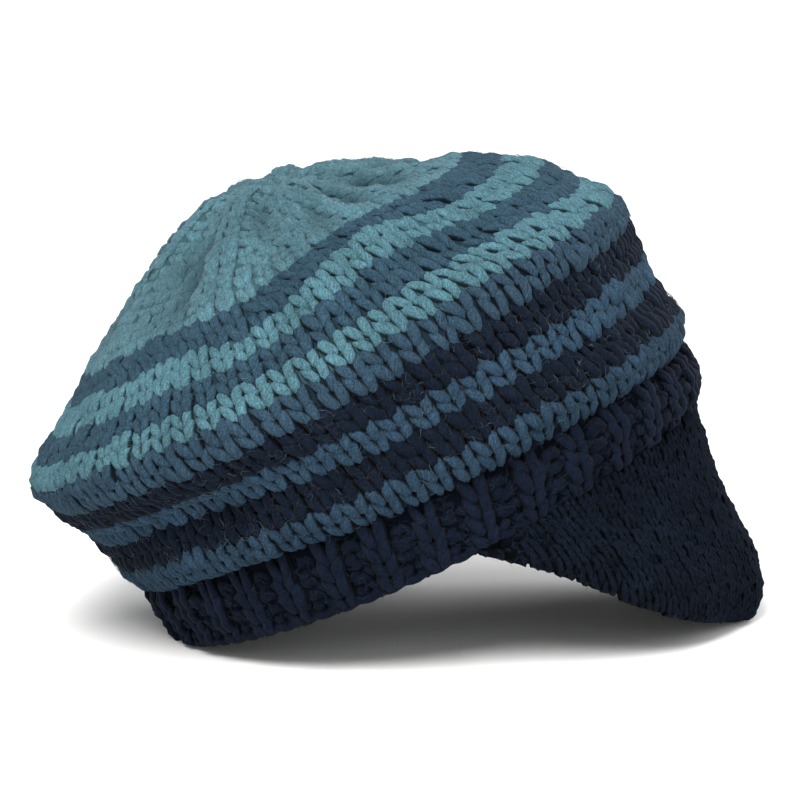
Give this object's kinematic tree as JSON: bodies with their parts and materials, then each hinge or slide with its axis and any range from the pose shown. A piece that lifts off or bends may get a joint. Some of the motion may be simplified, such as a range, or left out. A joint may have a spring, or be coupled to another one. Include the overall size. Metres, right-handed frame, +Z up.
{
  "type": "visor beanie",
  "caption": "Slouchy chunky-knit striped wool beanie with a ribbed band and a short drooping knitted visor, standing on its rear rim and visor edge.",
  "frame": {"origin": "bottom centre of the bounding box, on the surface that the hat stands on", "axes": "+Z up, the visor toward -Y, the wearer's left toward +X"},
  "size_m": [0.2, 0.2564, 0.1644],
  "materials": {
    "striped_wool": "matte, slightly fuzzy chunky wool, teal with slate, denim and navy stripes",
    "navy_rib_wool": "matte, slightly fuzzy ribbed wool",
    "navy_visor_wool": "matte, slightly fuzzy finer knitted wool"
  },
  "bodies": {
    "root": {"crown": "striped_wool", "ribbed_band": "navy_rib_wool", "visor": "navy_visor_wool"}
  },
  "joints": []
}
